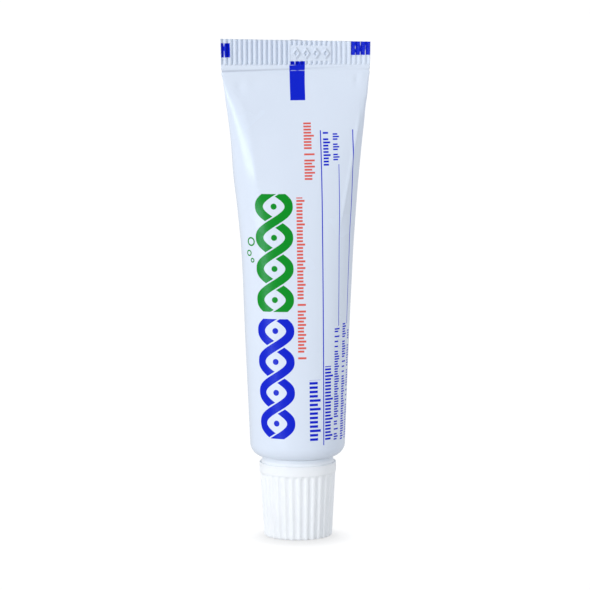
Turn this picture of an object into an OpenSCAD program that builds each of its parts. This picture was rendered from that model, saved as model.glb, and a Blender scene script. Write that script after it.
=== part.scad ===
// Travel toothpaste tube standing on its screw cap.
// Origin: centre of the cap's foot. +Z runs up to the flat end seal, X along the seal, -Y is the front.

/* [Film sleeve] */
// Diameter of the round end of the sleeve
sleeve_d = 19; // [14:0.5:38]
// Thickness of the laminate film
film_t = 0.35; // [0.25:0.05:0.5]
// Length of sleeve from the shoulder's rim to the crease of the end seal
body_l = 74.5; // [50:0.1:120]
// Radius of the curl that turns the film in over the shoulder
curl_r = 2.7; // [2:0.1:4]
// How far round the curl the film reaches, in degrees
curl_wrap = 62; // [45:1:80]
// Width of the lapped side seam down the back
lap_w = 2; // [1.2:0.1:3]
// Height of the step that the lap makes
lap_t = 0.15; // [0.1:0.05:0.3]

/* [End seal] */
// Height of the flat seal at its taller end
seal_h = 6.35; // [4:0.05:10]
// Plain strip between the crease and the ribs
plain_h = 1.1; // [0.5:0.1:2]
// Distance from one pressed rib to the next
rib_pitch = 0.97; // [0.8:0.01:1.6]
// Height from groove to crest of a pressed rib
rib_h = 0.3; // [0.1:0.02:0.4]
// How much lower the trimmed edge is at its right end
trim_slant = 0.85; // [0:0.05:1.5]
// Width of the unribbed date panel
panel_w = 8.2; // [4:0.1:12]
// Height of the date panel
panel_h = 3.4; // [2:0.1:3.8]
// Distance of the date panel from the middle, towards the right
panel_x = 3.2; // [0:0.1:6]
// Distance of the date panel below the trimmed edge
panel_drop = 1; // [0.4:0.05:1.2]

/* [Shoulder and neck] */
// Wall of the moulded shoulder
shoulder_t = 1.2; // [0.8:0.1:2]
// Length of the skirt that is welded inside the film
skirt_l = 1.8; // [1:0.1:4]
// Diameter of the boss between the shoulder and the cap
boss_d = 13.7; // [12:0.1:15]
// Height of that boss
boss_h = 1.1; // [0.6:0.1:3]
// Diameter of the neck under its thread
neck_d = 9.4; // [8:0.1:10]
// Length of the neck below the boss
neck_l = 10.4; // [7:0.1:12]
// Diameter of the orifice that the paste leaves by
orifice_d = 5; // [3:0.1:6]
// Bevel round the neck's tip
neck_bevel = 0.4; // [0.2:0.1:0.8]

/* [Cap] */
// Height of the cap
cap_h = 15; // [13:0.1:20]
// Diameter of the plain band at the cap's mouth
band_d = 15.35; // [15:0.05:18]
// Height of that band
band_h = 2; // [1:0.1:4]
// Diameter over the flutes at the cap's foot
foot_d = 13.7; // [13.2:0.1:15]
// How far the flutes' crests stand back from the band
crest_step = 0.1; // [0:0.05:0.2]
// Number of flutes round the cap
flute_n = 30; // [20:1:40]
// Radius of each flute's groove
flute_r = 0.6; // [0.45:0.05:0.8]
// Depth of each flute
flute_depth = 0.32; // [0.15:0.01:0.45]
// Diameter of the bore that takes the threaded neck
bore_d = 11.3; // [11:0.1:11.6]
// Thickness of the cap's closed end
floor_t = 1.4; // [1:0.1:2]
// Depth of the dish in the foot
dish_h = 0.4; // [0.1:0.1:0.6]
// Width of the ring that the cap stands on
foot_ring = 1.1; // [0.8:0.1:2]
// Rounding of the cap's outer edges
edge_r = 0.35; // [0.2:0.05:0.5]
// How far the sealing plug reaches into the orifice
plug_reach = 1.6; // [0.8:0.1:3]

/* [Fits] */
// Gap between the cap's mouth and the boss
mouth_gap = 0.1; // [0.05:0.05:0.5]
// Gap all round the plug in the orifice
plug_gap = 0.1; // [0.05:0.05:0.3]
// Gap between the plug's base and the neck's tip
tip_gap = 0.3; // [0.1:0.1:1]
// Gap between the film and the moulded shoulder inside it
weld_gap = 0.05; // [0.03:0.01:0.1]
// Gap between the paste and the walls that hold it
fill_gap = 0.1; // [0.05:0.05:0.3]

/* [Hidden] */
smooth = 96;

// Heights, from the foot of the cap up
boss_z = cap_h + mouth_gap;
tip_z = boss_z - neck_l;
under_z = boss_z + boss_h;
rim_z = under_z + curl_r;
crease_z = rim_z + body_l;
top_z = crease_z + seal_h;

// The film keeps its girth all the way up, so the flat seal is half a turn wide
sleeve_r = sleeve_d / 2;
girth = PI * sleeve_d;
flat_half = girth / 4;
seal_t = 2 * film_t;
curl_x = sleeve_r - curl_r;

// Share of the widening that is steady, and the share that comes close to the seal
steady_flare = 0.55;
late_flare = 0.42;
late_power = 3.3;
// How suddenly the body shuts, and how square its section gets, as it meets the seal
shut_power = 12;
square_power = 9;
round_section = 2;
square_section = 4;
// How much squarer than an ellipse the paste keeps the middle of the body
belly_square = 1;
// Points round the film and rows along it, and along a quarter of a section when it is measured
film_steps = 40;
body_rows = 20;
curl_rows = 5;
paste_steps = 32;
girth_steps = 24;
// The loft runs this far up inside the flat seal, and this much smaller than it
bury_h = 0.4;
bury_in = 0.03;

crease_half = sleeve_r + (flat_half - sleeve_r) * (steady_flare + late_flare);

// Section of the body at t, which is 0 at the shoulder's rim and 1 at the crease
function body_t(row) = sin(90 * row / body_rows);
function half_width(t) = sleeve_r + (flat_half - sleeve_r) * (steady_flare * t + late_flare * pow(t, late_power));
function shut(t) = pow(t, shut_power);
function squareness(t) =
    round_section + (square_section - round_section) * pow(t, square_power) + belly_square * t * (1 - t);
function half_depth(t) =
    oval_depth(half_width(t), squareness(t)) * (1 - shut(t)) + seal_t / 2 * shut(t);

// Point of an oval section at an angle, with the corners filled out as the power n grows
function oval_point(a, b, n, angle, lift = 0) =
    let (c = cos(angle), s = sin(angle), y = b * pow(max(0, 1 - pow(abs(c), n)), 1 / n))
    [a * c, (s < 0 ? -y : y) + lift];

// A quarter of an oval's girth, and the half depth that gives an oval the film's girth, found by halving
function quarter_girth(a, b, n) =
    let (q = [for (i = [0:girth_steps]) oval_point(a, b, n, 90 * i / girth_steps)],
         steps = [for (i = [1:girth_steps]) norm(q[i] - q[i - 1])])
    steps * [for (s = steps) 1];
function oval_depth(a, n, lo = 0, hi = sleeve_r, tries = 20) =
    tries == 0 ? (lo + hi) / 2
    : quarter_girth(a, (lo + hi) / 2, n) > girth / 4 ? oval_depth(a, n, lo, (lo + hi) / 2, tries - 1)
    : oval_depth(a, n, (lo + hi) / 2, hi, tries - 1);

// Section of film: once round from one edge of the lap to the other, then across the lap
function film_section(a, b, n, z, lap_lift) =
    let (half_lap = asin(lap_w / 2 / a), span = 360 - 2 * half_lap)
    [for (i = [0:film_steps + 3])
        let (across = i - film_steps - 1,
             angle = across < 0 ? 90 + half_lap + span * i / film_steps : 90 + half_lap * (across - 1),
             p = oval_point(a, b, n, angle, across < 0 ? 0 : lap_lift))
        [p.x, p.y, z]];

function plain_section(a, b, n, z, steps) =
    [for (i = [0:steps - 1]) let (p = oval_point(a, b, n, 360 * i / steps)) [p.x, p.y, z]];

// Skin between rows of points, each row a closed ring, with a flat lid at both ends
function skin_faces(rows, ring) = concat(
    [for (r = [0:rows - 2], i = [0:ring - 1])
        let (j = (i + 1) % ring) [r * ring + i, (r + 1) * ring + i, (r + 1) * ring + j, r * ring + j]],
    [[for (i = [0:ring - 1]) i]],
    [[for (i = [ring - 1:-1:0]) (rows - 1) * ring + i]]);

module skin(sections) {
    polyhedron(points = [for (s = sections) each s],
               faces = skin_faces(len(sections), len(sections[0])), convexity = 6);
}

function arc(cx, cy, r, a0, a1, steps) =
    [for (i = [0:steps]) let (a = a0 + (a1 - a0) * i / steps) [cx + r * cos(a), cy + r * sin(a)]];

// The film as one skin: up the outside, shut inside the seal, and as a blind pocket down the inside
function outer_curl() = [for (k = [0:curl_rows - 1])
    let (a = -curl_wrap * (1 - k / curl_rows), r = curl_x + curl_r * cos(a))
    film_section(r, r, round_section, rim_z + curl_r * sin(a), lap_t)];
function inner_curl() = [for (k = [0:curl_rows - 1])
    let (a = -curl_wrap * (1 - k / curl_rows), r = curl_x + (curl_r - film_t) * cos(a))
    film_section(r, r, round_section, rim_z + (curl_r - film_t) * sin(a), -lap_t / 2)];
function outer_body() = [for (k = [0:body_rows])
    let (t = body_t(k), shrink = bury_in * shut(t))
    film_section(half_width(t) - shrink, half_depth(t) - shrink, squareness(t),
                 rim_z + body_l * t, lap_t * (1 - shut(t)))];
function inner_body() = [for (k = [0:body_rows - 3])
    let (t = body_t(k))
    film_section(half_width(t) - film_t, half_depth(t) - film_t, squareness(t),
                 rim_z + body_l * t, -lap_t / 2 * (1 - shut(t)))];
function buried_end() = [film_section(crease_half - 4 * bury_in, seal_t / 2 - 2 * bury_in,
                                      square_section, crease_z + bury_h, 0)];
function backwards(list) = [for (i = [len(list) - 1:-1:0]) list[i]];

module film_body() {
    outside = concat(outer_curl(), outer_body(), buried_end());
    inside = concat(inner_curl(), inner_body());
    ring = len(outside[0]);
    first_in = len(outside) * ring;
    rows_in = len(inside);
    points = [for (s = concat(outside, inside)) each s];
    wall = [for (r = [0:len(outside) - 2], i = [0:ring - 1])
        let (j = (i + 1) % ring) [r * ring + i, (r + 1) * ring + i, (r + 1) * ring + j, r * ring + j]];
    pocket = [for (r = [0:rows_in - 2], i = [0:ring - 1])
        let (j = (i + 1) % ring, a = first_in + r * ring, b = a + ring) [a + i, a + j, b + j, b + i]];
    lip = [for (i = [0:ring - 1]) let (j = (i + 1) % ring) [i, j, first_in + j, first_in + i]];
    end = [for (i = [ring - 1:-1:0]) (len(outside) - 1) * ring + i];
    pocket_end = [for (i = [0:ring - 1]) first_in + (rows_in - 1) * ring + i];
    polyhedron(points = points, faces = concat(wall, pocket, lip, [end, pocket_end]), convexity = 8);
}

// Corrugated outline of the ribs: the jaws press both faces, so a crest in front is a groove behind
rib_n = floor(2 * flat_half / rib_pitch) - 1;
function rib_x(i, part) = (i + part - rib_n / 2) * rib_pitch;
function rib_edge() = [for (i = [0:rib_n - 1], c = [[0.1, 0], [0.35, 1], [0.65, 1], [0.9, 0]])
    [rib_x(i, c[0]), (0.5 - c[1]) * rib_h]];
module rib_outline() {
    edge = concat([[-flat_half, 0]], rib_edge(), [[flat_half, 0]]);
    polygon(concat([for (p = edge) [p.x, p.y - seal_t / 2]],
                   [for (p = backwards(edge)) [p.x, p.y + seal_t / 2]]));
}

module seal_face() {
    rotate([90, 0, 0])
        linear_extrude(seal_t + 2 * rib_h, center = true)
            polygon([[-crease_half, crease_z], [crease_half, crease_z],
                     [flat_half, top_z - trim_slant], [-flat_half, top_z]]);
}

module end_seal() {
    intersection() {
        union() {
            translate([-flat_half, -seal_t / 2, crease_z])
                cube([2 * flat_half, seal_t, plain_h + rib_h]);
            translate([0, 0, crease_z + plain_h])
                linear_extrude(seal_h - plain_h) rib_outline();
            translate([panel_x - panel_w / 2, -(seal_t + rib_h) / 2,
                       top_z - trim_slant / 2 - panel_drop - panel_h])
                cube([panel_w, seal_t + rib_h, panel_h]);
        }
        seal_face();
    }
}

module sleeve() {
    color([0.86, 0.9, 0.97])
        union() {
            film_body();
            end_seal();
        }
}

// Moulded shoulder: seat under the curl of film, skirt up inside it, funnel, boss and neck
seat_gap = weld_gap + lap_t / 2;   // clears the inner edge of the film's lap too
seat_r = sleeve_r - film_t - seat_gap;
orifice_r = orifice_d / 2;
module shoulder_neck() {
    color("white")
        rotate_extrude($fn = smooth)
            polygon(concat(
                [[orifice_r, tip_z], [neck_d / 2 - neck_bevel, tip_z], [neck_d / 2, tip_z + neck_bevel],
                 [neck_d / 2, boss_z], [boss_d / 2, boss_z], [boss_d / 2, under_z + curl_r * (1 - sin(85))]],
                arc(curl_x, rim_z, curl_r, -80, -curl_wrap - 1, 3),
                arc(curl_x, rim_z, curl_r - film_t - seat_gap, -curl_wrap - 1, 0, 6),
                [[seat_r, rim_z + skirt_l], [seat_r - shoulder_t + film_t, rim_z + skirt_l],
                 [seat_r - shoulder_t, rim_z], [curl_x, under_z + shoulder_t],
                 [orifice_r + shoulder_t, under_z + shoulder_t / 2], [orifice_r, boss_z]]));
}

// Paste: fills the film down to the shoulder, the funnel, and the neck down to the cap's plug
plug_top = tip_z + plug_reach;
module paste() {
    low = rim_z + skirt_l + fill_gap;
    low_t = (low - rim_z) / body_l;
    core_r = seat_r - shoulder_t - fill_gap;
    fill = [for (k = [0:body_rows - 4])
        let (t = low_t + (body_t(body_rows - 4) - low_t) * body_t(k) / body_t(body_rows - 4),
             in = film_t + lap_t / 2 + fill_gap)
        plain_section(half_width(t) - in, half_depth(t) - in, squareness(t),
                      rim_z + body_l * t, paste_steps)];
    color([0.62, 0.86, 0.84])
        union() {
            skin(fill);
            rotate_extrude($fn = smooth)
                polygon([[0, plug_top + fill_gap], [orifice_r - fill_gap, plug_top + fill_gap],
                         [orifice_r - fill_gap, boss_z + fill_gap],
                         [orifice_r + shoulder_t, under_z + shoulder_t / 2 + 2 * fill_gap],
                         [curl_x - fill_gap, under_z + shoulder_t + fill_gap],
                         [core_r, rim_z + fill_gap], [core_r, low + fill_gap], [0, low + fill_gap]]);
        }
}

// Cap: tapered fluted wall, plain band at the mouth, dished foot, bore and stepped sealing plug
crest_top_r = band_d / 2 - crest_step;
crest_foot_r = foot_d / 2;
flute_top_z = cap_h - band_h;
// How far round the cap has come to a stop, as a share of one flute
flute_turn = 0.75;
module cap_body() {
    plug_r = orifice_r - plug_gap;
    rotate_extrude($fn = smooth)
        polygon(concat(
            [[0, dish_h], [crest_foot_r - edge_r - foot_ring - dish_h, dish_h], [crest_foot_r - edge_r - foot_ring, 0]],
            arc(crest_foot_r - edge_r, edge_r, edge_r, -90, 0, 4),
            [[crest_top_r, flute_top_z], [band_d / 2, flute_top_z + crest_step]],
            arc(band_d / 2 - edge_r, cap_h - edge_r, edge_r, 0, 90, 4),
            [[bore_d / 2 + edge_r, cap_h], [bore_d / 2, cap_h - edge_r], [bore_d / 2, floor_t + dish_h],
             [neck_d / 2 - neck_bevel, floor_t + dish_h], [neck_d / 2 - 2 * neck_bevel, tip_z - tip_gap],
             [plug_r, tip_z - tip_gap], [plug_r, plug_top - 2 * plug_gap], [plug_r - 2 * plug_gap, plug_top],
             [0, plug_top]]));
}

module flute() {
    slope = atan((crest_top_r - crest_foot_r) / (flute_top_z - edge_r));
    run = (flute_top_z - edge_r - flute_r) / cos(slope);
    out = flute_r - flute_depth;
    translate([crest_foot_r + out, 0, edge_r])
        rotate([0, slope, 0]) {
            translate([0, 0, -2 * edge_r])
                cylinder(r = flute_r, h = run + 2 * edge_r, $fn = 24);
            translate([0, 0, run])
                sphere(r = flute_r, $fn = 24);
        }
}

module cap() {
    color([0.97, 0.98, 1])
        difference() {
            cap_body();
            for (i = [0:flute_n - 1])
                rotate([0, 0, 360 * (i + flute_turn) / flute_n])
                    flute();
        }
}

sleeve();
shoulder_neck();
paste();
cap();
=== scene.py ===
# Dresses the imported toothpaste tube: printed film sleeve, moulded shoulder, paste, fluted cap, floor, lamps, camera.
import math
import bpy
import numpy as np
from mathutils import Matrix, Vector


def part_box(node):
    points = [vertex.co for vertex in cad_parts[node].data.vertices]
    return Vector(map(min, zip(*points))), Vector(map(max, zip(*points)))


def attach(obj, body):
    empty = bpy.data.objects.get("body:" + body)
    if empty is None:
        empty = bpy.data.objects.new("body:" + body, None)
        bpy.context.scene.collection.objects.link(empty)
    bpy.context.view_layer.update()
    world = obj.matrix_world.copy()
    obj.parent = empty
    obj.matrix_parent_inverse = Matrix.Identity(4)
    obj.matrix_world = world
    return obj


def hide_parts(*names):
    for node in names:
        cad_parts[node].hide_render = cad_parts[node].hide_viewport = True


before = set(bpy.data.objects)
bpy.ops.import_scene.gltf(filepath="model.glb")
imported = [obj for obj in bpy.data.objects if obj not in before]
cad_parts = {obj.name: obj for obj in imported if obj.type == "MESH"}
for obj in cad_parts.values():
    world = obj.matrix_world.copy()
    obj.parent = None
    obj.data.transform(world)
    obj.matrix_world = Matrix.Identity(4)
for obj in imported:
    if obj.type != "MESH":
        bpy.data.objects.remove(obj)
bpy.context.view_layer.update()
mm = 0.001
print("stage: frame loaded")

# Places read from the frame, in mm. Pieces are worked out in mm and scaled when they become meshes.
sleeveLow, sleeveHigh = [np.array(corner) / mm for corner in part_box("sleeve")]
flatHalf, topZ = sleeveHigh[0], sleeveHigh[2]
girth = 4 * flatHalf                  # the flat seal is half the film's girth wide
sleeveR = girth / (2 * math.pi)
tipZ = (np.array(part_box("shoulder_neck")[0]) / mm)[2]
bandR, _, capH = np.array(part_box("cap")[1]) / mm
pasteFoot = (np.array(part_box("paste")[0]) / mm)[2]


def ease(x, low, high):
    # smooth step: 0 below low, 1 above high, level at both ends
    q = np.clip((x - low) / (high - low), 0, 1)
    return q * q * (3 - 2 * q)


def bell(x, width):
    # bell curve of height 1 round 0
    return np.exp(-(x / width) ** 2)


def roundOff(x, soft):
    # x where it is positive and 0 where it is negative, with the corner between rounded
    return (x + np.sqrt(x * x + soft * soft)) / 2


def arcPoints(cx, cz, r, startDeg, endDeg, count):
    # points (cx + r cos a, cz + r sin a) for angles a in even steps
    a = np.radians(np.linspace(startDeg, endDeg, count))
    return np.column_stack([cx + r * np.cos(a), cz + r * np.sin(a)])


def spread(points, step):
    # more points along a profile, so that none are further apart than step
    points = np.asarray(points, float)
    out = [points[:1]]
    for p, q in zip(points[:-1], points[1:]):
        count = max(1, int(np.ceil(np.linalg.norm(q - p) / step)))
        out.append(p + (q - p) * np.linspace(0, 1, count + 1)[1:, None])
    return np.vstack(out)


def gridFaces(rows, cols):
    # quads between neighbouring rows of a grid whose columns close into a ring
    r, c = np.meshgrid(np.arange(rows - 1), np.arange(cols), indexing="ij")
    n = (c + 1) % cols
    return np.stack([r * cols + c, r * cols + n, (r + 1) * cols + n, (r + 1) * cols + c], -1).reshape(-1, 4)


def addMesh(name, points, faces, filmUv=None):
    # points in mm and a list of faces become a smooth-shaded mesh; filmUv is one (u, z) for every face corner
    mesh = bpy.data.meshes.new(name)
    mesh.from_pydata((points * mm).tolist(), [], faces)
    if filmUv is not None:
        layer = mesh.uv_layers.new(name="film")
        layer.data.foreach_set("uv", filmUv.astype(np.float32).ravel())
    mesh.polygons.foreach_set("use_smooth", np.ones(len(mesh.polygons), bool))
    mesh.update()
    piece = bpy.data.objects.new(name, mesh)
    bpy.context.scene.collection.objects.link(piece)
    return piece


def turnedPoints(profile, cols, shape):
    # Surface of revolution: point (r cos a, r sin a, z) for each profile point and angle a.
    # shape(r, z, a) gives a new r, for flutes and threads.
    a = np.repeat(2 * math.pi * np.arange(cols)[None, :] / cols, len(profile), 0)
    r = np.repeat(profile[:, :1], cols, 1)
    z = np.repeat(profile[:, 1:], cols, 1)
    r = shape(r, z, a)
    return np.stack([r * np.cos(a), r * np.sin(a), z], -1).reshape(-1, 3)


film = {
    "wall": 0.35,                # thickness of the laminate
    "curlRadius": 2.7,           # film turned in over the shoulder
    "curlReach": 62,             # degrees of that curl that the film covers
    "sealHeight": 6.35,
    "trimSlant": 0.85,           # the trimmed edge is lower at its right end
    "steadyFlare": 0.55,         # share of the widening that is even along the body
    "lateFlare": 0.42,           # share that comes near the seal
    "latePower": 3.3,
    "shutPower": 12,             # how late the body closes to the seal's thickness
    "squareSection": 4,          # power of the section's oval at the crease, 2 being an ellipse
    "squarePower": 9,            # how late it gets there
    "sealSquare": 14,            # power of the oval in the seal
    "bellySquare": 1.0,          # how much squarer than an ellipse the filled middle is
    "edgeRound": 0.05,           # of the trimmed edge
    "lapWidth": 2.0,             # back seam
    "lapStep": 0.15, "lapEdge": 0.06,
    "lapBlend": (0.4, 0.3),      # the lap's other side runs out over this much before and after its end
    "waviness": 0.018, "wavyFrom": (30, 60),
    "pocketTop": 0.92,           # share of the body's height that is open inside
    "columns": 520, "bodyRows": 84, "sealRows": 46, "pocketRows": 9,
    "crowding": 1.35,            # how much closer the body's rows get towards the seal
    "ovalPoints": 2401,
}
groove = {                       # crease under the seal
    "depth": 0.15, "width": 0.20, "drop": 0.05,
    "swell": 0.45,               # low swell under it, as a share of its depth
    "swellWidth": 0.35, "swellDrop": 0.65,
    "fadeRight": 0.7,            # how much shallower it is on the right half of the front
    "fade": (-2, 6), "fadeEnd": (13.0, 16.0),   # places u where that comes in and goes out again
}
ribs = {
    "pitch": 0.988,
    "height": 0.58,
    "plainStrip": 1.1,           # between the crease and the ribs
    "rise": 0.28,                # height over which they begin
    "leftStart": -14.0,          # place of the first crest
    "fadeRight": 0.45,           # how much shallower the ribs are at the right end
    "fade": (0, 13),             # places x between which that comes in
    "flatten": 1.6, "bias": 0.5, # how flat the crests are, and how much wider than the grooves
}
panel = {
    "left": -1.1, "right": 7.1,
    "drop": 1.0,                 # below the trimmed edge
    "height": 3.4,
    "level": 0.5,                # as a share of the ribs' crests
    "edge": 0.1, "endEdge": 0.15,                # soft step round it
    "marks": 4, "markHeight": 0.40, "markReach": 0.56, "markSlope": 0.62, "markLine": (0.10, 0.30),
}
folds = {
    # each fold runs from a corner of the seal down and inwards: place u at height z, slope and bend of that line, where
    # it swings out to the corner, its ends, the crest's height and roundness, the reach to both sides, and its welt
    "swingFrom": 84, "fadeLow": 8, "fadeHigh": 5,
    "left": {"u": -9.25, "z": 78.6, "slope": -0.165, "bend": -0.0035, "swing": -0.06, "low": 66, "high": 91,
             "height": 0.34, "crest": 0.55, "toLeft": 8.0, "toRight": 1.5, "welt": 0.03, "weltWidth": 0.8},
    "right": {"u": 12.9, "z": 85.0, "slope": 0.205, "bend": 0, "swing": 0, "low": 60, "high": 87,
              "height": 0.34, "crest": 0.16, "toLeft": 1.6, "toRight": 2.6, "welt": 0.13, "weltWidth": 0.36},
}
dents = [
    # height, place u and its width, place z and its width
    (-0.26, -11.4, 1.0, 90.3, 1.1),
    (-0.14, -8.4, 1.2, 90.9, 0.9),
    (-0.16, 12.3, 0.5, 91.4, 0.9),
    (0.12, 13.4, 0.6, 92.3, 0.6),
    (0.05, 3.0, 2.5, 88.6, 1.1),
    (-0.30, -14.9, 5.0, 57.0, 11.0),
    (0.18, 15.4, 2.0, 88.6, 2.8),
]
drawnIn = {"depth": 0.34, "u": -15.6, "width": 2.4, "low": (70, 82), "high": (85, 94)}      # left edge under the seal
curlX = sleeveR - film["curlRadius"]
creaseZ = topZ - film["sealHeight"]
rimZ = sleeveLow[2] + film["curlRadius"] * math.sin(math.radians(film["curlReach"]))
bodyL = creaseZ - rimZ
sealT = 2 * film["wall"]


def ovalRing(a, b, n, share):
    # Points at even shares of the way round the oval |x/a|^n + |y/b|^n = 1 (n on x, its root on y),
    # from the middle of its front towards +X; also the oval's girth
    angle = np.linspace(-math.pi / 2, 1.5 * math.pi, film["ovalPoints"])
    c, s = np.cos(angle), np.sin(angle)
    x = a * c
    y = np.sign(s) * b * np.clip(1 - np.abs(c) ** n, 0, 1) ** (1 / n)
    length = np.concatenate([[0], np.cumsum(np.hypot(np.diff(x), np.diff(y)))])
    at = share * length[-1]
    return np.column_stack([np.interp(at, length, x), np.interp(at, length, y)]), length[-1]


def bodySection(t):
    # Half width, half depth and squareness of the body at t: 0 at the shoulder's rim, 1 at the crease.
    # The width flares by a law, and halving finds the depth that keeps the film's girth.
    a = sleeveR + (flatHalf - sleeveR) * (film["steadyFlare"] * t + film["lateFlare"] * t ** film["latePower"])
    n = 2 + (film["squareSection"] - 2) * t ** film["squarePower"] + film["bellySquare"] * t * (1 - t)
    low, high = 0.0, sleeveR
    for _ in range(16):
        mid = (low + high) / 2
        if ovalRing(a, mid, n, np.zeros(1))[1] > girth:
            high = mid
        else:
            low = mid
    shut = t ** film["shutPower"]
    return a, (low + high) / 2 * (1 - shut) + sealT / 2 * shut, n


def filmStrip():
    # Rings of the film in one strip: down inside the pocket, round the lip, up the outside and up the seal.
    # Returns the points, the height of each on the print (far below it on the inside) and a mark for the seal.
    share = (np.arange(film["columns"]) + 0.5) / film["columns"]
    rings, printZ, inSeal = [], [], []

    def add(xy, z, height, seal=0.0):
        z = np.broadcast_to(np.asarray(z, float), len(share))
        rings.append(np.column_stack([xy, z]))
        printZ.append(np.broadcast_to(np.asarray(height, float), len(share)))
        inSeal.append(seal)

    wall, curlR = film["wall"], film["curlRadius"]
    inside = -60.0                      # print height of the inner side, where nothing is printed
    for t in np.linspace(film["pocketTop"], 0, film["pocketRows"]):
        a, b, n = bodySection(t)
        add(ovalRing(a - wall, b - wall, n, share)[0], rimZ + bodyL * t, inside)
    reach = math.radians(film["curlReach"])
    for angle in np.linspace(0, -reach, 6)[1:]:
        r = curlX + (curlR - wall) * math.cos(angle)
        add(ovalRing(r, r, 2, share)[0], rimZ + (curlR - wall) * math.sin(angle), inside)
    for turn in np.linspace(0, math.pi, 6)[1:-1]:
        mid = curlR - wall / 2
        out = mid - wall / 2 * math.cos(turn)
        dip = wall / 2 * math.sin(turn) / mid
        r = curlX + out * math.cos(-reach - dip)
        add(ovalRing(r, r, 2, share)[0], rimZ + out * math.sin(-reach - dip), inside)
    for angle in np.linspace(-reach, 0, 13)[:-1]:
        r = curlX + curlR * math.cos(angle)
        add(ovalRing(r, r, 2, share)[0], rimZ + curlR * math.sin(angle), rimZ + curlR * angle)
    for q in np.linspace(0, 1, film["bodyRows"]):
        t = 1 - (1 - q) ** film["crowding"]
        a, b, n = bodySection(t)
        add(ovalRing(a, b, n, share)[0], rimZ + bodyL * t, rimZ + bodyL * t)
    creaseHalf, _, n = bodySection(1.0)
    edge = film["edgeRound"]
    for f in np.append(np.linspace(0, 1 - edge / film["sealHeight"], film["sealRows"])[1:], [1, 1]):
        a = creaseHalf + (flatHalf - creaseHalf) * f
        xy = ovalRing(a, sealT / 2, n + (film["sealSquare"] - n) * ease(f, 0, 0.12), share)[0]
        across = (xy[:, 0] + flatHalf) / (2 * flatHalf)
        if f == 1 and inSeal[-1] == 1:  # the last ring is set in, which rounds the edge
            xy = xy * np.array([1 - edge / a, 1 - 2 * edge / sealT])
        z = creaseZ + f * (film["sealHeight"] - film["trimSlant"] * across)
        add(xy, z, z, max(f, 1e-6))
    return np.array(rings), np.array(printZ), np.array(inSeal), share


def foldRelief(u, z, fold):
    # crest along the line u = u0 + slope (z - z0) + bend (z - z0)^2 that falls off to both sides and fades at its ends
    up = z - fold["z"]
    swing = fold["swing"] * np.maximum(z - folds["swingFrom"], 0) ** 2
    away = u - (fold["u"] + fold["slope"] * up + fold["bend"] * up * up + swing)
    fall = (np.hypot(away, fold["crest"]) - fold["crest"]) / np.where(away < 0, fold["toLeft"], fold["toRight"])
    crest = fold["height"] * np.exp(-fall) + fold["welt"] * bell(away, fold["weltWidth"])
    return (crest * ease(z, fold["low"], fold["low"] + folds["fadeLow"])
            * (1 - ease(z, fold["high"] - folds["fadeHigh"], fold["high"])))


def filmRelief(u, z):
    # how far the film stands out of its smooth form: folds, dents, waviness, the crease's groove, the lap at the back
    out = foldRelief(u, z, folds["left"]) + foldRelief(u, z, folds["right"])
    for height, atU, wide, atZ, tall in dents:
        out += height * bell(u - atU, wide) * bell(z - atZ, tall)
    out -= (drawnIn["depth"] * bell(u - drawnIn["u"], drawnIn["width"]) * ease(z, *drawnIn["low"])
            * (1 - ease(z, *drawnIn["high"])))
    waves = film["waviness"] * np.sin(u * 0.9 + 1.7 * np.sin(z * 0.21)) * np.sin(z * 0.33 + 0.6)
    out += waves * ease(z, *film["wavyFrom"])
    trough = bell(z - (creaseZ - groove["drop"]), groove["width"])
    trough = trough - groove["swell"] * bell(z - (creaseZ - groove["swellDrop"]), groove["swellWidth"])
    front = 1 - ease(np.abs(u), *groove["fadeEnd"])
    out -= groove["depth"] * trough * (1 - groove["fadeRight"] * ease(u, *groove["fade"]) * front)
    back = np.abs(u) - girth / 2
    side = np.where(u > 0, back, -back)     # signed distance from the middle of the back
    half, edge, blend = film["lapWidth"] / 2, film["lapEdge"], film["lapBlend"]
    lap = film["lapStep"] * ease(side, -half - edge, -half + edge)
    return out + lap * (1 - ease(side, half - blend[0], half + blend[1]))


def within(x, low, high, outer, inner):
    # 1 from low to high, with a soft step at both ends that reaches outer and inner to their two sides
    return ease(x, low - outer, low + inner) * (1 - ease(x, high - inner, high + outer))


def sealPress(x, f):
    # Corrugation pressed through both faces at the share f of the seal's height: plain strip, ribs as a flattened
    # cosine of x, and a flat panel with a row of diamonds. Positive is towards the front.
    phase = (x - ribs["leftStart"]) / ribs["pitch"]
    wave = np.tanh(ribs["flatten"] * np.cos(2 * math.pi * phase) + ribs["bias"]) / math.tanh(ribs["flatten"])
    above = f * film["sealHeight"] - ribs["plainStrip"]
    depth = ribs["height"] / 2 * (1 - ribs["fadeRight"] * ease(x, *ribs["fade"]))
    press = depth * wave * ease(above, 0, ribs["rise"])
    drop = film["sealHeight"] * (1 - f)
    edge = panel["edge"]
    inPanel = (within(x, panel["left"], panel["right"], panel["endEdge"], edge)
               * within(drop, panel["drop"], panel["drop"] + panel["height"], edge, edge))
    midDrop = panel["drop"] + panel["height"] / 2
    marks = np.zeros_like(x)
    for k in range(panel["marks"]):
        centre = panel["left"] + (k + 0.6) * (panel["right"] - panel["left"]) / (panel["marks"] + 0.2)
        away = np.abs(np.abs(x - centre) + panel["markSlope"] * np.abs(drop - midDrop) - panel["markReach"])
        marks += 1 - ease(away, *panel["markLine"])
    flat = panel["level"] * ribs["height"] / 2 + panel["markHeight"] * marks
    return press * (1 - inPanel) + flat * inPanel


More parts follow.
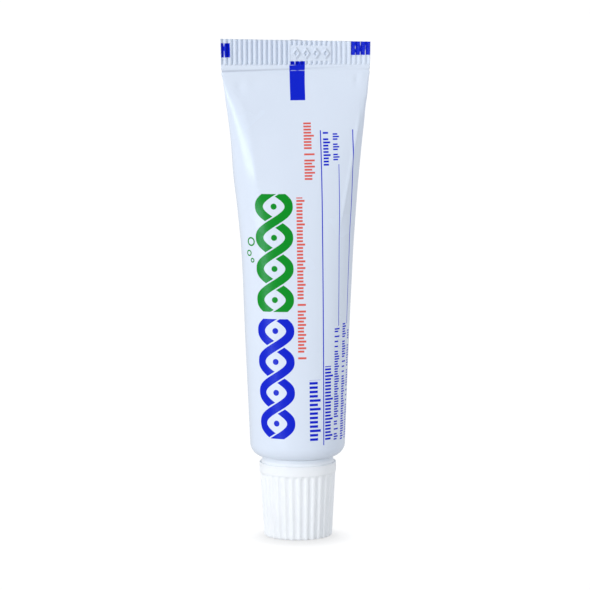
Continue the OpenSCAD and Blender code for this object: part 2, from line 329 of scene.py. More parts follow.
def makeSleeve():
    # the film strip, pushed out along its normals by its relief, pressed in the seal, and closed at both ends
    rings, printZ, inSeal, share = filmStrip()
    rows, cols = printZ.shape
    u = np.where(share < 0.5, share, share - 1) * girth
    along = np.roll(rings, -1, 1) - np.roll(rings, 1, 1)
    upward = np.gradient(rings, axis=0)
    normal = np.cross(along, upward)
    normal /= np.maximum(np.linalg.norm(normal, axis=2, keepdims=True), 1e-9)
    uGrid = np.broadcast_to(u, (rows, cols))
    outside = printZ > 0
    relief = np.where(outside, filmRelief(uGrid, np.where(outside, printZ, 0)), 0)
    endRow = np.arange(rows)[:, None] >= rows - 1
    rings = rings + normal * np.where(endRow, 0, relief)[..., None]
    press = sealPress(rings[..., 0], np.broadcast_to(inSeal[:, None], (rows, cols)))
    rings[..., 1] -= np.where(inSeal[:, None] > 0, press, 0)
    step = np.arange(-cols // 4, cols // 4 - 1)

    def pair(j):
        return (cols // 2 - 1 - j) % cols      # column straight behind column j

    last = (rows - 1) * cols
    lid = np.column_stack([step % cols, (step + 1) % cols, pair(step + 1), pair(step)]) + last
    plug = np.column_stack([step % cols, pair(step), pair(step + 1), (step + 1) % cols])
    wall = gridFaces(rows, cols)
    row, col = wall[:, 0] // cols, wall[:, 0] % cols
    du = girth / cols
    cornerU = np.stack([u[col], u[col] + du, u[col] + du, u[col]], -1)
    nextCol = (col + 1) % cols
    cornerZ = np.stack([printZ[row, col], printZ[row, nextCol], printZ[row + 1, nextCol], printZ[row + 1, col]], -1)
    ends = np.vstack([lid, plug])
    endU = u[ends % cols]
    endZ = printZ[ends // cols, ends % cols]
    filmUv = np.vstack([np.stack([cornerU, cornerZ], -1).reshape(-1, 2), np.stack([endU, endZ], -1).reshape(-1, 2)])
    return addMesh("printedSleeve", rings.reshape(-1, 3), wall.tolist() + ends.tolist(), filmUv)


sleeve = makeSleeve()
print("stage: sleeve, triangles", 2 * len(sleeve.data.polygons))


neck = {
    "bossR": 6.98,
    "bossFoot": 7.33,            # the boss flares a little to where it meets the cap
    "bossRise": 1.1,
    "bossRound": 0.2,
    "coreR": 4.7,
    "tipBevel": 0.4,
    "orificeR": 2.5,
    "lip": 0.15,                 # bevel of the orifice
    "wall": 1.2,
    "skirt": 1.8,
    "weldGap": 0.05,             # between the moulding and the film
    "capGap": 0.003,             # between the boss and the cap
    "columns": 160,
}
thread = {
    "pitch": 2.4,
    "neckCrest": 0.8, "boreCrest": 0.75,
    "crestHalf": 0.12, "rootHalf": 0.30,     # half widths of the ridge at its crest and root, as shares of the pitch
    "runOut": 0.8,
    "tipClear": 0.5, "bossClear": 0.7, "mouthClear": 1.2,       # what it keeps away from these three
}
underZ = rimZ - film["curlRadius"]
bossZ = underZ - neck["bossRise"]


def threadRidge(z, a, start, low, high):
    # trapezoid ridge along the helix z = start + pitch a / 2 pi, height 0 to 1, run out at both its ends
    phase = (z - start) / thread["pitch"] - a / (2 * math.pi)
    away = np.abs(phase - np.round(phase))
    ridge = 1 - ease(away, thread["crestHalf"], thread["rootHalf"])
    return ridge * ease(z, low, low + thread["runOut"]) * (1 - ease(z, high - thread["runOut"], high))


def makeShoulder():
    # profile up the neck's outside, over boss and seat under the curl, skirt, then back down inside to the orifice
    curlR, reach = film["curlRadius"], film["curlReach"] + 1.5         # the seat runs a little past the film's lip
    seatR = sleeveR - film["wall"] - film["lapStep"] / 2 - neck["weldGap"]
    bevel, core, orifice, wall = neck["tipBevel"], neck["coreR"], neck["orificeR"], neck["wall"]
    bossRound, bossFoot, skirtTop = neck["bossRound"], neck["bossFoot"], rimZ + neck["skirt"]
    lip, seatZ = neck["lip"], capH + neck["capGap"]
    profile = np.vstack([
        [[orifice + lip, tipZ], [core - bevel, tipZ]],
        arcPoints(core - bevel, tipZ + bevel, bevel, -90, 0, 5),
        spread([[core, tipZ + bevel + 0.1], [core, bossZ - 0.12]], 0.16),
        [[core + 0.1, seatZ], [bossFoot - 0.01, seatZ], [bossFoot, capH + 0.012]],
        arcPoints(neck["bossR"] - bossRound, underZ - bossRound - 0.02, bossRound, 0, 90, 5),
        [[curlX - 0.6, underZ]],
        arcPoints(curlX, rimZ, curlR, -90, -reach, 6),
        arcPoints(curlX, rimZ, curlR - film["wall"] - neck["weldGap"], -reach, 0, 7),
        [[seatR, skirtTop], [seatR - wall / 2, skirtTop], [seatR - wall, rimZ]],
        arcPoints(curlX - 0.4, rimZ - 0.3, seatR - wall - curlX + 0.4, 0, -60, 5),
        [[orifice + wall, underZ + wall / 2], [orifice + 0.2, bossZ + 0.4], [orifice, bossZ]],
        [[orifice, tipZ + lip]],
    ])
    rows, cols = len(profile), neck["columns"]
    onCore = (np.abs(profile[:, 0] - core) < 1e-6) & (profile[:, 1] > tipZ + bevel) & (profile[:, 1] < bossZ)

    def shape(r, z, a):
        ridge = threadRidge(z, a, tipZ, tipZ + thread["tipClear"], bossZ - thread["bossClear"])
        return np.where(onCore[:, None], r + thread["neckCrest"] * ridge, r)

    faces = gridFaces(rows + 1, cols) % (rows * cols)                  # the last row joins the first one
    return addMesh("shoulderNeck", turnedPoints(profile, cols, shape), faces.tolist())


shoulder = makeShoulder()
print("stage: shoulder and neck")


fill = {
    "gap": 0.1,                  # between the paste and the moulding
    "filmGap": 0.12,
    "reach": 0.90,               # share of the body's height that is full
    "crown": 0.2,                # the top bulges a little
    "funnelRound": 1.4,
    "footRound": 0.5,
    "columns": 96, "rows": 34,
}


def makePaste():
    # the film's own sections set in by its wall, then rings down the shoulder's funnel and the neck
    cols = fill["columns"]
    share = (np.arange(cols) + 0.5) / cols
    rings = []

    def add(a, b, n, z):
        rings.append(np.column_stack([ovalRing(a, b, n, share)[0], np.full(cols, z)]))

    inset = film["wall"] + film["lapStep"] / 2 + fill["filmGap"]
    skirtTop = neck["skirt"] + fill["gap"]
    for q in np.linspace(1, 0, fill["rows"]):
        t = skirtTop / bodyL + (fill["reach"] - skirtTop / bodyL) * math.sin(q * math.pi / 2)
        a, b, n = bodySection(t)
        add(a - inset, b - inset, n, rimZ + bodyL * t)
    core = sleeveR - film["wall"] - neck["weldGap"] - neck["wall"] - 2 * fill["gap"]
    throat = neck["orificeR"] - fill["gap"]
    bend, foot = fill["funnelRound"], fill["footRound"]
    funnel = np.vstack([
        [[core, rimZ + skirtTop], [core, rimZ + 0.1]],
        arcPoints(core - bend, rimZ + 0.1, bend, -10, -70, 4),
        [[throat + neck["wall"], underZ + neck["wall"] / 2 + 0.25], [throat, bossZ + 0.2], [throat, pasteFoot + foot]],
        arcPoints(throat - foot, pasteFoot + foot, foot, -20, -90, 4),
        [[throat * 0.4, pasteFoot]],
    ])
    for r, z in funnel:
        add(r, r, 2, z)
    rings = np.array(rings)
    rows = len(rings)
    points = np.vstack([rings.reshape(-1, 3), [[0, 0, rings[0, 0, 2] + fill["crown"]], [0, 0, pasteFoot]]])
    faces = gridFaces(rows, cols)[:, ::-1].tolist()                    # rows run downwards here
    top, low, last = rows * cols, rows * cols + 1, (rows - 1) * cols
    faces += [[top, c, (c + 1) % cols] for c in range(cols)]
    faces += [[low, last + (c + 1) % cols, last + c] for c in range(cols)]
    return addMesh("pasteFill", points, faces)


paste = makePaste()
print("stage: paste")


cap = {
    "bandHeight": 2.0,
    "turned": 0.75,              # where the cap has stopped, as a share of one flute
    "crestStep": 0.1,            # the flutes' crests stand back from the band
    "footR": 6.85,
    "flutes": 30,
    "fluteR": 0.6,
    "fluteDepth": 0.32,
    "boreR": 5.65,
    "floor": 1.4,
    "dish": 0.4,
    "footRing": 1.1,
    "edge": 0.35,                # rounding of the foot and of the mouth's inner edge
    "rimEdge": 0.11,             # rounding of the mouth's outer edge
    "softening": 0.07,           # rounding of the flutes' edges
    "gateR": 0.45, "gateH": 0.12,
    "plugReach": 1.6, "plugGap": 0.1,
    "plugRound": 0.3,
    "columns": 480,
}


def makeCap():
    # gate mark, dish, foot ring, fluted and tapered wall, band, mouth, threaded bore, floor and plug in one profile
    edge, foot, bore, rim, step = cap["edge"], cap["footR"], cap["boreR"], cap["rimEdge"], cap["crestStep"]
    dish, gateR, gateZ = cap["dish"], cap["gateR"], cap["dish"] + cap["gateH"]
    ringIn = foot - edge - cap["footRing"]
    crestTop = bandR - step
    fluteTop = capH - cap["bandHeight"]
    endZ = fluteTop - cap["fluteR"]                                    # here the flutes begin to run out
    floorZ = cap["floor"] + dish
    padR = neck["coreR"] - 2 * neck["tipBevel"]                        # raised pad that the neck's tip seals on
    plugR, plugTop, plugRound = neck["orificeR"] - cap["plugGap"], tipZ + cap["plugReach"], cap["plugRound"]
    profile = np.vstack([
        [[gateR - 0.1, gateZ], [gateR, dish]],
        spread([[0.6, dish], [ringIn - 0.9, dish]], 1.5),
        arcPoints(ringIn - 0.3, dish - 0.35, 0.35, 90, 25, 4),
        arcPoints(ringIn + 0.25, 0.2, 0.2, 190, 270, 4),
        arcPoints(foot - edge, edge, edge, -90, 0, 7),
        spread([[foot, edge + 0.25], [foot + (crestTop - foot) * 0.93, endZ]], 1.1),
        spread([[foot + (crestTop - foot) * 0.935, endZ + 0.07], [crestTop, fluteTop]], 0.07),
        arcPoints(crestTop, fluteTop + step, step, -80, 0, 4),
        spread([[bandR, fluteTop + 0.3], [bandR, capH - edge - 0.15]], 0.6),
        arcPoints(bandR - rim, capH - rim, rim, 0, 90, 8),
        arcPoints(bore + edge, capH - edge, edge, 90, 180, 6),
        spread([[bore, capH - edge - 0.1], [bore, floorZ + 0.4]], 0.19),
        arcPoints(bore - 0.3, floorZ + 0.3, 0.3, 0, -90, 4),
        spread([[bore - 0.8, floorZ], [padR + neck["tipBevel"], floorZ]], 1.0),
        [[padR, tipZ - 0.35]],
        arcPoints(padR - 0.1, tipZ - 0.4, 0.1, 0, 90, 3),
        [[plugR + 0.1, tipZ - 0.3], [plugR, tipZ - 0.2], [plugR, plugTop - plugRound]],
        arcPoints(plugR - plugRound, plugTop - plugRound, plugRound, 20, 90, 4),
        [[0.6, plugTop]],
    ])
    rows, cols = len(profile), cap["columns"]
    mouth = np.argmax(profile[:, 1])
    outer = (np.arange(rows) < mouth) & (profile[:, 0] > ringIn + 0.2)
    inBore = (np.arange(rows) > mouth) & (np.abs(profile[:, 0] - bore) < 1e-6)

    def shape(r, z, a):
        # flute: a round groove whose bottom is (radius of cutter) - depth inside the crest; x is the way across it
        pitch = 2 * math.pi / cap["flutes"]
        turn = a / pitch - cap["turned"]
        x = r * np.sin((turn - np.round(turn)) * pitch)
        above = np.maximum(z - endZ, 0)
        reach = cap["fluteR"] ** 2 - x * x - above * above
        cut = np.sqrt(np.maximum(reach, 0)) - (cap["fluteR"] - cap["fluteDepth"])
        fluted = r - roundOff(cut, cap["softening"]) * (1 - ease(z, fluteTop - 0.06, fluteTop))
        ridge = threadRidge(z, a, tipZ + thread["pitch"] / 2, tipZ, capH - thread["mouthClear"])
        threaded = r - thread["boreCrest"] * ridge
        return np.where(outer[:, None], fluted, np.where(inBore[:, None], threaded, r))

    points = np.vstack([turnedPoints(profile, cols, shape), [[0, 0, gateZ], [0, 0, plugTop]]])
    first, last, top = rows * cols, rows * cols + 1, (rows - 1) * cols
    faces = gridFaces(rows, cols).tolist()
    faces += [[first, (c + 1) % cols, c] for c in range(cols)]
    faces += [[last, top + c, top + (c + 1) % cols] for c in range(cols)]
    return addMesh("flutedCap", points, faces)


screwCap = makeCap()
print("stage: cap, triangles", 2 * len(screwCap.data.polygons))


class Maker:
    # short way to write node sums: every method gives back a socket

    def __init__(self, name):
        self.material = bpy.data.materials.new(name)
        self.material.use_nodes = True
        self.nodes = self.material.node_tree.nodes
        self.links = self.material.node_tree.links
        self.shader = self.nodes["Principled BSDF"]

    def put(self, socket, value):
        if isinstance(value, bpy.types.NodeSocket):
            self.links.new(value, socket)
        else:
            socket.default_value = value

    def calc(self, operation, a, b=0.0, c=0.0, clamp=False):
        node = self.nodes.new("ShaderNodeMath")
        node.operation = operation
        node.use_clamp = clamp
        self.put(node.inputs[0], a)
        self.put(node.inputs[1], b)
        self.put(node.inputs[2], c)
        return node.outputs[0]

    def below(self, x, limit, soft=0.05):
        # 1 where x is under limit, 0 over it, soft between them
        return self.calc("MULTIPLY_ADD", x, -1 / soft, limit / soft + 0.5, clamp=True)

    def band(self, x, low, high, soft=0.05):
        # 1 between low and high
        away = self.calc("ABSOLUTE", self.calc("SUBTRACT", x, (low + high) / 2))
        return self.below(away, (high - low) / 2, soft)

    def rect(self, u, z, left, right, low, high):
        return self.calc("MULTIPLY", self.band(u, left, right), self.band(z, low, high))

    def opposite(self, mask):
        return self.calc("SUBTRACT", 1.0, mask)

    def most(self, *masks):
        total = masks[0]
        for mask in masks[1:]:
            total = self.calc("MAXIMUM", total, mask)
        return total

    def mix(self, factor, a, b):
        node = self.nodes.new("ShaderNodeMix")
        node.data_type = "RGBA"
        self.put(node.inputs["Factor"], factor)
        self.put(node.inputs[6], a)
        self.put(node.inputs[7], b)
        return node.outputs[2]

    def noise(self, vector, scale, detail=2.0):
        node = self.nodes.new("ShaderNodeTexNoise")
        self.put(node.inputs["Vector"], vector)
        node.inputs["Scale"].default_value = scale
        node.inputs["Detail"].default_value = detail
        return node.outputs[0]

    def objectPlace(self):
        return self.nodes.new("ShaderNodeTexCoord").outputs["Object"]

    def parts(self, vector):
        node = self.nodes.new("ShaderNodeSeparateXYZ")
        self.put(node.inputs[0], vector)
        return node.outputs

    def smoothRange(self, value, fromLow, fromHigh, toLow=0.0, toHigh=1.0):
        node = self.nodes.new("ShaderNodeMapRange")
        node.interpolation_type = "SMOOTHSTEP"
        for socket, amount in zip(("Value", "From Min", "From Max", "To Min", "To Max"),
                                  (value, fromLow, fromHigh, toLow, toHigh)):
            self.put(node.inputs[socket], amount)
        return node.outputs[0]

    def bump(self, height, strength, distance):
        node = self.nodes.new("ShaderNodeBump")
        node.inputs["Strength"].default_value = strength
        node.inputs["Distance"].default_value = distance
        self.put(node.inputs["Height"], height)
        self.links.new(node.outputs[0], self.shader.inputs["Normal"])

    def finish(self, **values):
        for name, value in values.items():
            self.put(self.shader.inputs[name.replace("_", " ")], value)
        return self.material


def srgb(r, g, b):
    # screen colour, 0 to 255, as a linear colour
    return tuple(((c / 255 + 0.055) / 1.055) ** 2.4 if c > 10 else c / 255 / 12.92 for c in (r, g, b)) + (1,)


# The print, and a painted shade along the crease, in mm on the rolled out film: u from the middle of the front to the
# right, z as on the standing tube.
printed = {
    "film": srgb(223, 232, 245),
    "filmShade": srgb(215, 226, 241),
    "blue": srgb(0, 25, 204),
    "green": srgb(0, 143, 26),
    "red": srgb(225, 92, 78),
    "braidLeft": -8.85, "braidRight": -1.25,
    "braidLow": 20.9, "braidMid": 45.45, "braidHigh": 69.4,
    "braidGap": 0.7,             # from the middle to each colour's end
    "turns": 2,                  # full turns of the twist in each colour
    "stroke": 1.65,
    "dot": 0.6,
    "ringLines": [               # centre u and z, radius and line width of each bubble
        (-10.0, 59.9, 0.75, 0.3), (-10.6, 57.6, 0.5, 0.26), (-9.8, 56.2, 0.36, 0.24),
    ],
    # rows of strokes: left, right, low, high, pitch and seed
    "redRows": [(-0.55, 1.1, 36.7, 68.7, 0.66, 3.0), (1.2, 3.3, 72.0, 83.3, 0.60, 11.0)],
    "boldRows": [
        (1.65, 3.95, 20.4, 32.6, 0.86, 23.0), (4.95, 6.85, 20.4, 35.2, 0.66, 31.0), (5.1, 6.55, 74.7, 81.4, 0.62, 47.0),
    ],
    "smallRows": [
        (7.1, 8.4, 75.7, 81.4, 0.50, 53.0), (7.2, 8.5, 20.2, 42.6, 0.50, 61.0),
        (9.4, 10.7, 20.0, 43.4, 0.50, 71.0), (11.4, 12.6, 20.0, 42.0, 0.50, 83.0),
    ],
    "rules": [(4.52, 4.74, 19.5, 81.7), (8.15, 8.3, 43.0, 75.0)],      # left, right, low and high
    "leaningRule": (10.9, 11.1, 43.2, 81.7), "lean": 0.008, "leanFrom": 48,
    "blocks": [                  # left, right, low and high; the last one is on the back
        (-1.25, 1.8, 87.55, 95.2), (10.85, 15.0, 96.3, 99.1), (-14.6, -12.85, 96.1, 98.9), (28.0, 30.0, 88.0, 95.0),
    ],
    # painted shade: a dark line in the crease where the seal begins, which fades away from its left end
    "crease": srgb(172, 180, 196), "creaseLow": 93.58, "creaseHigh": 93.84, "creaseSlope": 0.028,
    "creaseFrom": -13.5, "creaseShare": 0.72, "creaseFade": 0.026,
}
strokeLook = {
    "low": 0.14, "high": 0.74,   # where a stroke lies in its share of the row
    "soft": 0.12, "edge": 0.06,  # soft edges along the row and across it
    "missing": 0.10,             # share of the strokes that are left out
    "short": 0.62,               # share that are left out or short
    "shortReach": 0.74,          # how far the short ones go, as a share of the row's width
}
wearAndHighlight = {
    # of the blocks' ink, which gives way to the film where it is worn and, on the ribs' crests, partly as a painted
    # highlight: scale of the patches, and gain and offset that sharpen them and the ribs' crests
    "patches": 700.0, "patchGain": 6.0, "patchStart": -2.6,
    "crestGain": 4.0, "crestStart": -3.0,
    "lines": [(-0.12, 0.04), (0.95, 1.1)],      # heights of the strip's two edges, from the crease
    "lineWear": 0.4,
}
sheen = {
    # of the film: clouds of shade in its colour and gloss, then a fine grain with coarser ripples
    "clouds": 90.0, "clouding": 0.35,
    "roughness": 0.22, "roughSpread": 0.08,
    "grain": 900.0, "ripple": 160.0, "ripples": 2.0, "strength": 0.12, "depth": 0.0001,
    "tint": (0.6, 0.8, 1.0, 1),
}


def braid(maker, u, z):
    # two strands u = centre +- swing sin(k z), one over the other in turn, as thick as the stroke across their run,
    # and a dot in the middle of each eye between them
    middle = (printed["braidLeft"] + printed["braidRight"]) / 2
    swing = (printed["braidRight"] - printed["braidLeft"] - printed["stroke"]) / 2
    k = 2 * math.pi * printed["turns"] / (printed["braidMid"] - printed["braidLow"])
    turn = maker.calc("MULTIPLY", maker.calc("SUBTRACT", z, printed["braidMid"]), k)
    sine, cosine = maker.calc("SINE", turn), maker.calc("COSINE", turn)
    slope = maker.calc("MULTIPLY", cosine, swing * k)
    lengthen = maker.calc("SQRT", maker.calc("MULTIPLY_ADD", slope, slope, 1.0))
    first = maker.calc("GREATER_THAN", cosine, 0.0)
    half = math.pi / k
    eye = maker.calc("FRACT", maker.calc("DIVIDE", maker.calc("SUBTRACT", z, printed["braidMid"]), half))
    along = maker.calc("MULTIPLY_ADD", eye, half, -half / 2)
    across = maker.calc("SUBTRACT", u, middle)
    squares = maker.calc("ADD", maker.calc("MULTIPLY", along, along), maker.calc("MULTIPLY", across, across))
    dots = maker.below(maker.calc("SQRT", squares), printed["dot"])
    masks = []
    for sign in (1, -1):
        line = maker.calc("MULTIPLY_ADD", sine, sign * swing, middle)
        away = maker.calc("DIVIDE", maker.calc("ABSOLUTE", maker.calc("SUBTRACT", u, line)), lengthen)
        masks.append((maker.below(away, printed["stroke"] / 2), maker.below(away, printed["stroke"] / 2 + 0.3)))
    (inkA, roomA), (inkB, roomB) = masks
    notFirst = maker.opposite(first)
    cutA = maker.opposite(maker.calc("MULTIPLY", roomB, notFirst))
    cutB = maker.opposite(maker.calc("MULTIPLY", roomA, first))
    strandA = maker.most(maker.calc("MULTIPLY", inkA, first), maker.calc("MULTIPLY", inkA, cutA))
    strandB = maker.most(maker.calc("MULTIPLY", inkB, notFirst), maker.calc("MULTIPLY", inkB, cutB))
    return maker.most(strandA, strandB, dots)


def ring(maker, u, z, centreU, centreZ, r, width):
    # circle line of one bubble
    du = maker.calc("SUBTRACT", u, centreU)
    dz = maker.calc("SUBTRACT", z, centreZ)
    away = maker.calc("SQRT", maker.calc("ADD", maker.calc("MULTIPLY", du, du), maker.calc("MULTIPLY", dz, dz)))
    return maker.band(away, r - width / 2, r + width / 2)


def strokeRow(maker, u, z, left, right, low, high, pitch, seed):
    # row of small strokes across the run: a fixed noise of each stroke's number sets its reach, or leaves it out
    cell = maker.calc("FLOOR", maker.calc("DIVIDE", maker.calc("SUBTRACT", z, low), pitch))
    dice = maker.nodes.new("ShaderNodeTexWhiteNoise")
    dice.noise_dimensions = "1D"
    maker.put(dice.inputs["W"], maker.calc("ADD", cell, seed))
    chance = dice.outputs["Value"]
    place = maker.calc("FRACT", maker.calc("DIVIDE", maker.calc("SUBTRACT", z, low), pitch))
    stroke = maker.band(place, strokeLook["low"], strokeLook["high"], strokeLook["soft"])
    short, edge = strokeLook["shortReach"], strokeLook["edge"]
    tall = maker.calc("MULTIPLY_ADD", maker.calc("GREATER_THAN", chance, strokeLook["short"]), 1 - short, short)
    reach = maker.calc("MULTIPLY_ADD", tall, right - left, left)
    fromLeft = maker.calc("MULTIPLY_ADD", u, 1 / edge, -left / edge + 0.5, clamp=True)
    toReach = maker.calc("MULTIPLY_ADD", maker.calc("SUBTRACT", reach, u), 1 / edge, 0.5, clamp=True)
    kept = maker.calc("GREATER_THAN", chance, strokeLook["missing"])
    mask = maker.calc("MULTIPLY", maker.calc("MULTIPLY", fromLeft, toReach), maker.calc("MULTIPLY", stroke, kept))
    return maker.calc("MULTIPLY", mask, maker.band(z, low, high))


def filmMaterial():
    maker = Maker("printed film")
    source = maker.nodes.new("ShaderNodeUVMap")
    source.uv_map = "film"
    u, z = maker.parts(source.outputs[0])[:2]

    def strokes(rows):
        return maker.most(*[strokeRow(maker, u, z, *row) for row in rows])

    strands = braid(maker, u, z)
    middle, gap = printed["braidMid"], printed["braidGap"]
    lower = maker.calc("MULTIPLY", strands, maker.band(z, printed["braidLow"], middle - gap))
    upper = maker.calc("MULTIPLY", strands, maker.band(z, middle + gap, printed["braidHigh"]))
    bubbles = maker.most(*[ring(maker, u, z, *line) for line in printed["ringLines"]])
    red, bold, small = strokes(printed["redRows"]), strokes(printed["boldRows"]), strokes(printed["smallRows"])
    leaning = maker.calc("ADD", u, printed["lean"] * printed["leanFrom"])
    leaning = maker.calc("MULTIPLY_ADD", z, -printed["lean"], leaning)
    rules = maker.most(*[maker.rect(u, z, *rule) for rule in printed["rules"]],
                       maker.rect(leaning, z, *printed["leaningRule"]))
    blocks = maker.most(*[maker.rect(u, z, *block) for block in printed["blocks"]])

    # the ink of the blocks gives way to the film in patches on the ribs' crests, partly wear and partly a painted
    # highlight where the crests catch the light, and is worn along the strip's two edges
    place = maker.objectPlace()
    crests = maker.calc("SUBTRACT", u, ribs["leftStart"])
    crests = maker.calc("COSINE", maker.calc("MULTIPLY", crests, 2 * math.pi / ribs["pitch"]))
    patchy = maker.noise(place, wearAndHighlight["patches"], 1.0)
    patchy = maker.calc("MULTIPLY_ADD", patchy, wearAndHighlight["patchGain"], wearAndHighlight["patchStart"], clamp=True)
    crestWearAndHighlight = maker.calc("MULTIPLY_ADD", crests, wearAndHighlight["crestGain"], wearAndHighlight["crestStart"], clamp=True)
    crestWearAndHighlight = maker.calc("MULTIPLY", crestWearAndHighlight, patchy)
    crestWearAndHighlight = maker.calc("MULTIPLY", crestWearAndHighlight, maker.calc("GREATER_THAN", z, creaseZ + ribs["plainStrip"]))
    lines = maker.most(*[maker.band(z, creaseZ + low, creaseZ + high) for low, high in wearAndHighlight["lines"]])
    scuff = maker.calc("MULTIPLY", lines, maker.calc("MULTIPLY", patchy, wearAndHighlight["lineWear"]))
    blocks = maker.calc("MULTIPLY", blocks, maker.opposite(maker.most(crestWearAndHighlight, scuff)))

    cloud = maker.noise(place, sheen["clouds"], 3.0)
    base = maker.mix(maker.calc("MULTIPLY", cloud, sheen["clouding"]), printed["film"], printed["filmShade"])
    # painted shade along the crease under the seal, strongest at its left end
    level = maker.calc("MULTIPLY_ADD", u, -printed["creaseSlope"], z)
    crease = maker.band(level, printed["creaseLow"], printed["creaseHigh"], 0.3)
    away = maker.calc("ABSOLUTE", maker.calc("SUBTRACT", u, printed["creaseFrom"]))
    fading = maker.calc("MULTIPLY_ADD", away, -printed["creaseFade"], printed["creaseShare"], clamp=True)
    base = maker.mix(maker.calc("MULTIPLY", crease, fading), base, printed["crease"])
    colour = maker.mix(red, base, printed["red"])
    colour = maker.mix(small, colour, printed["blue"])
    colour = maker.mix(maker.most(bold, rules, blocks, lower), colour, printed["blue"])
    colour = maker.mix(maker.most(upper, bubbles), colour, printed["green"])
    grain = maker.noise(place, sheen["grain"], 2.0)
    rough = maker.calc("MULTIPLY_ADD", cloud, sheen["roughSpread"], sheen["roughness"])
    ripple = maker.calc("MULTIPLY", maker.noise(place, sheen["ripple"], 2.0), sheen["ripples"])
    maker.bump(maker.calc("ADD", grain, ripple), sheen["strength"], sheen["depth"])
    return maker.finish(Base_Color=colour, Roughness=rough, IOR=1.36, Specular_Tint=sheen["tint"])


plastics = {
    # colour and mottling, roughness, scale and depth of the grain, how milky; the boss has a painted shade near its
    # top, under the film's curl
    "shoulder": {"name": "shoulder plastic", "colour": srgb(247, 251, 255), "shade": srgb(243, 248, 254),
                 "roughness": 0.36, "grain": 1400.0, "depth": 0.00004, "milky": 0.0,
                 "paintedShade": srgb(224, 231, 240), "paintedShadeLow": bossZ, "paintedShadeHigh": bossZ + 0.7},
    "cap": {"name": "cap plastic", "colour": srgb(246, 251, 255), "shade": srgb(243, 249, 255),
            "roughness": 0.34, "grain": 1100.0, "depth": 0.00005, "milky": 0.4},
}


def plasticMaterial(look):
    # moulded white plastic: slight mottling, fine spark grain, soft gloss
    maker = Maker(look["name"])
    place = maker.objectPlace()
    cloud = maker.noise(place, 140.0, 3.0)
    base = maker.mix(cloud, look["colour"], look["shade"])
    # painted shade: the boss is darker near its top, where the film's curl overhangs it
    if "paintedShade" in look:
        height = maker.parts(place)[2]
        base = maker.mix(maker.smoothRange(height, look["paintedShadeLow"] * mm, look["paintedShadeHigh"] * mm), base, look["paintedShade"])
    maker.bump(maker.noise(place, look["grain"], 2.0), 0.25, look["depth"])
    return maker.finish(Base_Color=base, Roughness=maker.calc("MULTIPLY_ADD", cloud, 0.12, look["roughness"]), IOR=1.4,
                        Subsurface_Weight=look["milky"], Subsurface_Scale=0.0016, Subsurface_Radius=(1, 1, 1))


pasteLook = {
    "colour": srgb(176, 226, 222), "shade": srgb(198, 236, 232), "clouds": 260.0,
    "grain": 420.0, "strength": 0.3, "depth": 0.0002,
    "roughness": 0.22, "coat": 0.4,
}


def pasteMaterial(look):
    maker = Maker("mint paste")
    place = maker.objectPlace()
    base = maker.mix(maker.noise(place, look["clouds"], 3.0), look["colour"], look["shade"])
    maker.bump(maker.noise(place, look["grain"], 2.0), look["strength"], look["depth"])
    return maker.finish(Base_Color=base, Roughness=look["roughness"], IOR=1.4, Coat_Weight=look["coat"],
                        Coat_Roughness=0.1)


sleeve.data.materials.append(filmMaterial())
shoulder.data.materials.append(plasticMaterial(plastics["shoulder"]))
paste.data.materials.append(pasteMaterial(pasteLook))
screwCap.data.materials.append(plasticMaterial(plastics["cap"]))
print("stage: materials")

for piece, node, body, slot in ((sleeve, "sleeve", "tube", "film"), (shoulder, "shoulder_neck", "tube", "shoulder"),
                                (paste, "paste", "tube", "paste"), (screwCap, "cap", "cap", "cap")):
    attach(piece, body)
    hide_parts(node)
print("stage: pieces ride on their bodies")


view = {
    "turn": 5.1,                 # degrees that the camera stands round to the left of the front
    "aside": -0.36,              # mm, camera to the side of the axis
    "away": 700.0,               # mm, camera to the axis
    "height": 138.6,
    "aim": 48.54,                # height on the axis that the camera looks at
    "roll": 0.32,
    "focal": 3536.6,             # focal length in pixels of the 590 pixel picture
    "pixels": 590,
}
light = {
    "key": {"power": 1.40, "side": 42, "rise": 6, "width": 19},
    "fill": {"power": 0.26, "side": -70, "rise": 6, "width": 30},
    "horizon": 0.88, "zenith": 0.56,
    "sky": (1.0, 1.02, 1.07, 1), # the studio is a little cooler than the lamps
    "mirrored": 0.35,            # how bright the studio is in the gloss of the pieces
}
ground = {
    "reach": 30.0,               # metres
    "glow": 0.45,                # light that the floor gives the tube from below
    "seen": 0.40,                # what it has on top of that for the eye
    "contact": 0.0022,           # reach in metres of the soft shade where the foot meets the floor
    "contactShade": 0.15,
    "frontShade": 0.22,          # wider soft shade round a place in front of the foot's middle
    "frontPlace": (0.0003, -0.0030, 0), "frontNear": 0.0045, "frontFar": 0.0125,
}
lampAim = Vector((0, 0, 0.05))   # middle of the tube


def addLamp(name, power, side, rise, width):
    # distant lamp, degrees wide; the side angle counts from the camera's direction to its left
    lamp = bpy.data.lights.new(name, "SUN")
    lamp.energy = power
    lamp.angle = math.radians(width)
    a, e = math.radians(-90 - view["turn"] - side), math.radians(rise)
    thing = bpy.data.objects.new(name, lamp)
    thing.location = Vector((math.cos(e) * math.cos(a), math.cos(e) * math.sin(a), math.sin(e))) + lampAim
    thing.rotation_euler = (lampAim - thing.location).to_track_quat("-Z", "Y").to_euler()
    bpy.context.scene.collection.objects.link(thing)


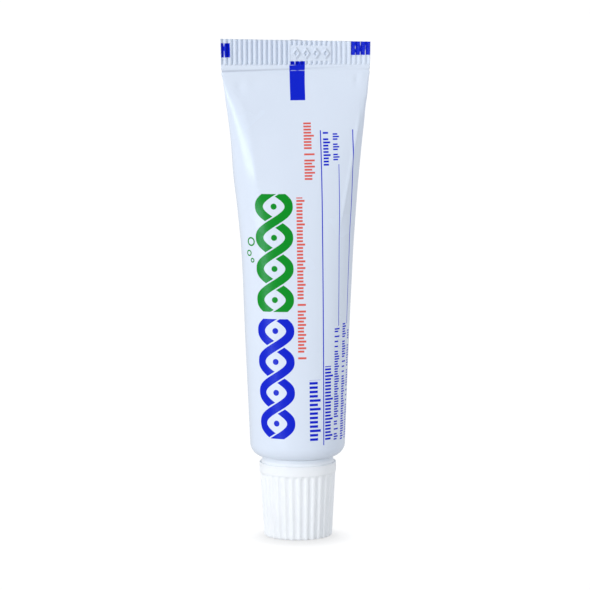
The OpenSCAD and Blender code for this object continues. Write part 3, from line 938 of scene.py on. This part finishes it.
def makeFloor():
    # wide pale floor with the soft shade of what stands on it
    floorMesh = bpy.data.meshes.new("floor")
    far = ground["reach"]
    floorMesh.from_pydata([(-far, -far, 0), (far, -far, 0), (far, far, 0), (-far, far, 0)], [], [(0, 1, 2, 3)])
    floor = bpy.data.objects.new("floor", floorMesh)
    bpy.context.scene.collection.objects.link(floor)
    maker = Maker("white floor")
    maker.finish(Base_Color=(0.25, 0.25, 0.25, 1), Roughness=0.9, Specular_IOR_Level=0.0, Emission_Color=(1, 1, 1, 1))
    shade = maker.nodes.new("ShaderNodeAmbientOcclusion")
    shade.samples = 16
    shade.inputs["Distance"].default_value = ground["contact"]
    seen = maker.nodes.new("ShaderNodeLightPath").outputs["Is Camera Ray"]
    glow = maker.calc("MULTIPLY_ADD", seen, ground["seen"], ground["glow"])
    place = maker.nodes.new("ShaderNodeVectorMath")
    place.operation = "DISTANCE"
    maker.put(place.inputs[0], maker.objectPlace())
    maker.put(place.inputs[1], ground["frontPlace"])
    near = maker.smoothRange(place.outputs["Value"], ground["frontNear"], ground["frontFar"], 1 - ground["frontShade"])
    touch = maker.calc("MULTIPLY_ADD", shade.outputs["AO"], ground["contactShade"], 1 - ground["contactShade"])
    maker.finish(Emission_Strength=maker.calc("MULTIPLY", glow, maker.calc("MULTIPLY", touch, near)))
    floorMesh.materials.append(maker.material)


def makeWorld():
    # white studio, brighter at the horizon, dimmer in the gloss of the pieces and plain white for the eye
    world = bpy.data.worlds.new("white studio")
    bpy.context.scene.world = world
    world.use_nodes = True
    nodes, links = world.node_tree.nodes, world.node_tree.links
    back = nodes["Background"]
    direction = nodes.new("ShaderNodeSeparateXYZ")
    links.new(nodes.new("ShaderNodeTexCoord").outputs["Generated"], direction.inputs[0])
    height = nodes.new("ShaderNodeMapRange")
    links.new(direction.outputs[2], height.inputs["Value"])
    height.inputs["To Min"].default_value = light["horizon"]
    height.inputs["To Max"].default_value = light["zenith"]
    path = nodes.new("ShaderNodeLightPath")
    tint = nodes.new("ShaderNodeMix")
    tint.data_type = "RGBA"
    links.new(path.outputs["Is Camera Ray"], tint.inputs["Factor"])
    tint.inputs[6].default_value, tint.inputs[7].default_value = light["sky"], (1, 1, 1, 1)
    links.new(tint.outputs[2], back.inputs["Color"])
    strength = height.outputs[0]
    for ray, value in (("Is Glossy Ray", light["mirrored"]), ("Is Camera Ray", 1.0)):
        level = nodes.new("ShaderNodeMix")
        links.new(path.outputs[ray], level.inputs["Factor"])
        links.new(strength, level.inputs[2])
        level.inputs[3].default_value = value
        strength = level.outputs[0]
    links.new(strength, back.inputs["Strength"])


def makeCamera():
    # the photograph's own view of the tube
    turn, roll = math.radians(view["turn"]), math.radians(view["roll"])
    pitch = math.atan2(view["height"] - view["aim"], view["away"])
    camera = bpy.data.cameras.new("photo view")
    camera.sensor_width = 36.0
    camera.lens = view["focal"] / view["pixels"] * camera.sensor_width
    camera.clip_start, camera.clip_end = 0.05, 100.0
    thing = bpy.data.objects.new("photo view", camera)
    heading = Matrix.Rotation(-turn, 4, "Z")
    place = heading @ Vector((view["aside"], -view["away"], view["height"])) * mm
    nod, tilt = Matrix.Rotation(math.pi / 2 - pitch, 4, "X"), Matrix.Rotation(-roll, 4, "Z")
    thing.matrix_world = Matrix.Translation(place) @ heading @ nod @ tilt
    bpy.context.scene.collection.objects.link(thing)
    bpy.context.scene.camera = thing


makeFloor()
makeWorld()
addLamp("key", **light["key"])
addLamp("fill", **light["fill"])
makeCamera()
bpy.context.scene.view_settings.view_transform = "Standard"
print("stage: floor, lamps and camera")
